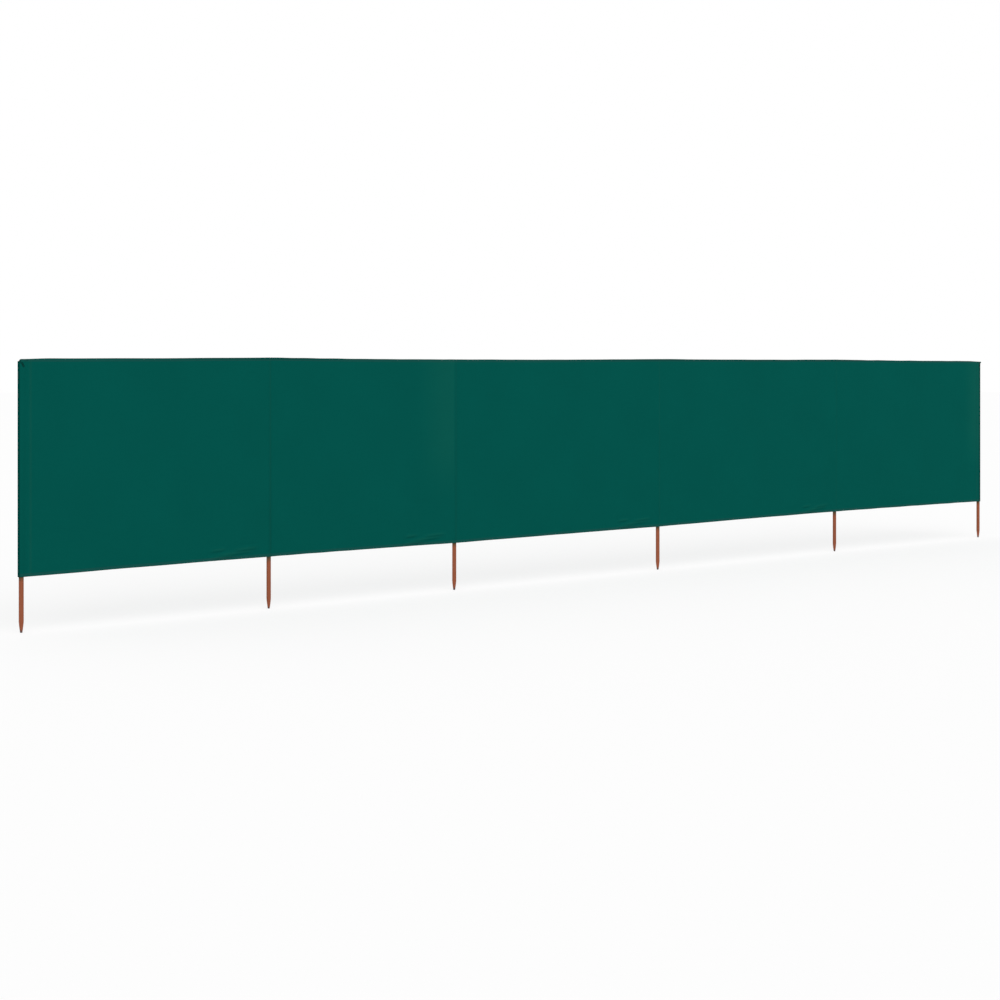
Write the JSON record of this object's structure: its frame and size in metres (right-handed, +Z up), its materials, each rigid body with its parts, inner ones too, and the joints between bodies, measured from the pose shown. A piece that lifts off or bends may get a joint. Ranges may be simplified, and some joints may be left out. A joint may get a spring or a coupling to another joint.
{
  "type": "beach windbreak",
  "caption": "Long beach windbreak: one length of dark green cloth on six wooden poles in closed sleeves, in an almost straight row.",
  "frame": {"origin": "middle of the blunt foot of the first pole", "axes": "+X from the first pole to the last, +Z up along the poles, and the smooth front of the cloth towards -Y"},
  "size_m": [6.0243, 0.0464, 1.005],
  "materials": {
    "stained_wood": "stained softwood, satin",
    "cloth": "matt, close plain weave",
    "hem_cloth": "matt, folded and stitched"
  },
  "bodies": {
    "root": {"pole_1": "stained_wood", "pole_2": "stained_wood", "pole_3": "stained_wood", "pole_4": "stained_wood", "pole_5": "stained_wood", "pole_6": "stained_wood", "sleeve_1": "cloth", "sleeve_2": "cloth", "sleeve_3": "cloth", "sleeve_4": "cloth", "sleeve_5": "cloth", "sleeve_6": "cloth", "panel_1": "cloth", "panel_2": "cloth", "panel_3": "cloth", "panel_4": "cloth", "panel_5": "cloth", "top_hem_1": "hem_cloth", "top_hem_2": "hem_cloth", "top_hem_3": "hem_cloth", "top_hem_4": "hem_cloth", "top_hem_5": "hem_cloth", "bottom_hem_1": "hem_cloth", "bottom_hem_2": "hem_cloth", "bottom_hem_3": "hem_cloth", "bottom_hem_4": "hem_cloth", "bottom_hem_5": "hem_cloth"}
  },
  "joints": []
}
